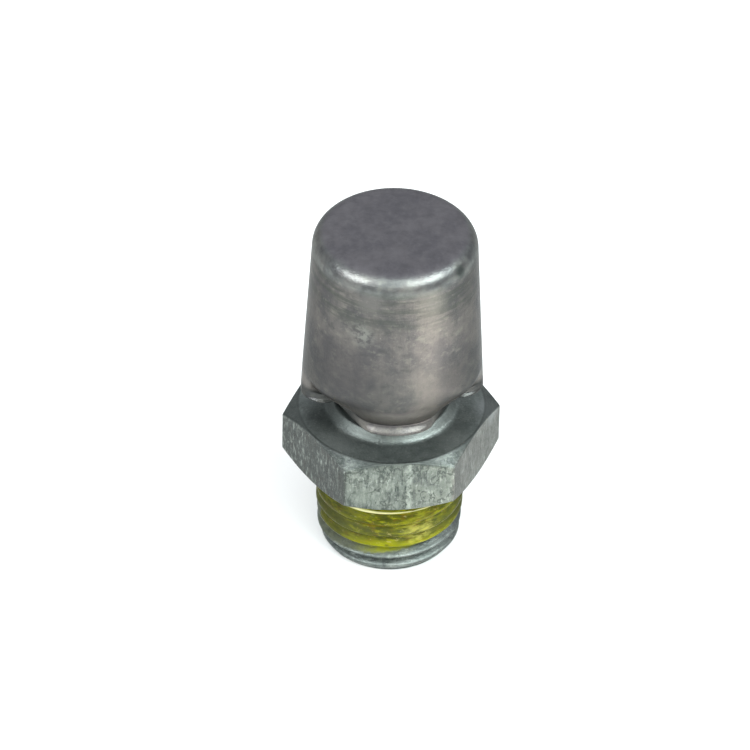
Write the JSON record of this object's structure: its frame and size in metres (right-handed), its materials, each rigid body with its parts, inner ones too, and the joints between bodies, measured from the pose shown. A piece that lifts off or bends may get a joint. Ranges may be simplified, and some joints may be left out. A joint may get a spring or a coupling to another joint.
{
  "type": "axle breather",
  "caption": "Screw-in axle housing breather: hexagon fitting with a tapered thread, and a crimped, spring loaded cap over a rubber faced valve.",
  "frame": {"origin": "centre of the thread's end face, where the fitting stands", "axes": "+Z along the fitting's axis from the thread's end up through the cap; -Y out of one hexagon flat, the one that faces the picture's viewer"},
  "size_m": [0.0202, 0.0174, 0.0353],
  "materials": {
    "turned_steel": "turned, dull zinc plate, scuffed",
    "dried_sealant": "semi-gloss, brushed on, dried",
    "drawn_steel": "satin, drawn, faint vertical lines",
    "seal_rubber": "matt",
    "pressed_steel": "satin",
    "spring_wire": "drawn wire, satin"
  },
  "bodies": {
    "fitting": {"breather_body": "turned_steel", "thread_sealant": "dried_sealant"},
    "valve": {"valve_seal": "seal_rubber", "valve_cup": "pressed_steel"},
    "spring": {"valve_spring": "spring_wire"},
    "cap": {"cap": "drawn_steel"}
  },
  "joints": [
    {"name": "valve_lift", "type": "slide", "parent": "fitting", "child": "valve", "axis": [0, 0, 1], "range_m": [0, 0.0012], "stiffness_N_per_m": 216, "springref_m": -0.0019},
    {"name": "cap_press", "type": "slide", "parent": "fitting", "child": "spring", "axis": [0, 0, 1], "range_m": [-0.0009, 0], "stiffness_N_per_m": 216, "springref_m": 0.0019, "deforming": ["valve_spring"]},
    {"name": "cap_spin", "type": "hinge", "parent": "spring", "child": "cap", "pos_m": [0, 0, 0], "axis": [0, 0, 1], "continuous": true}
  ]
}
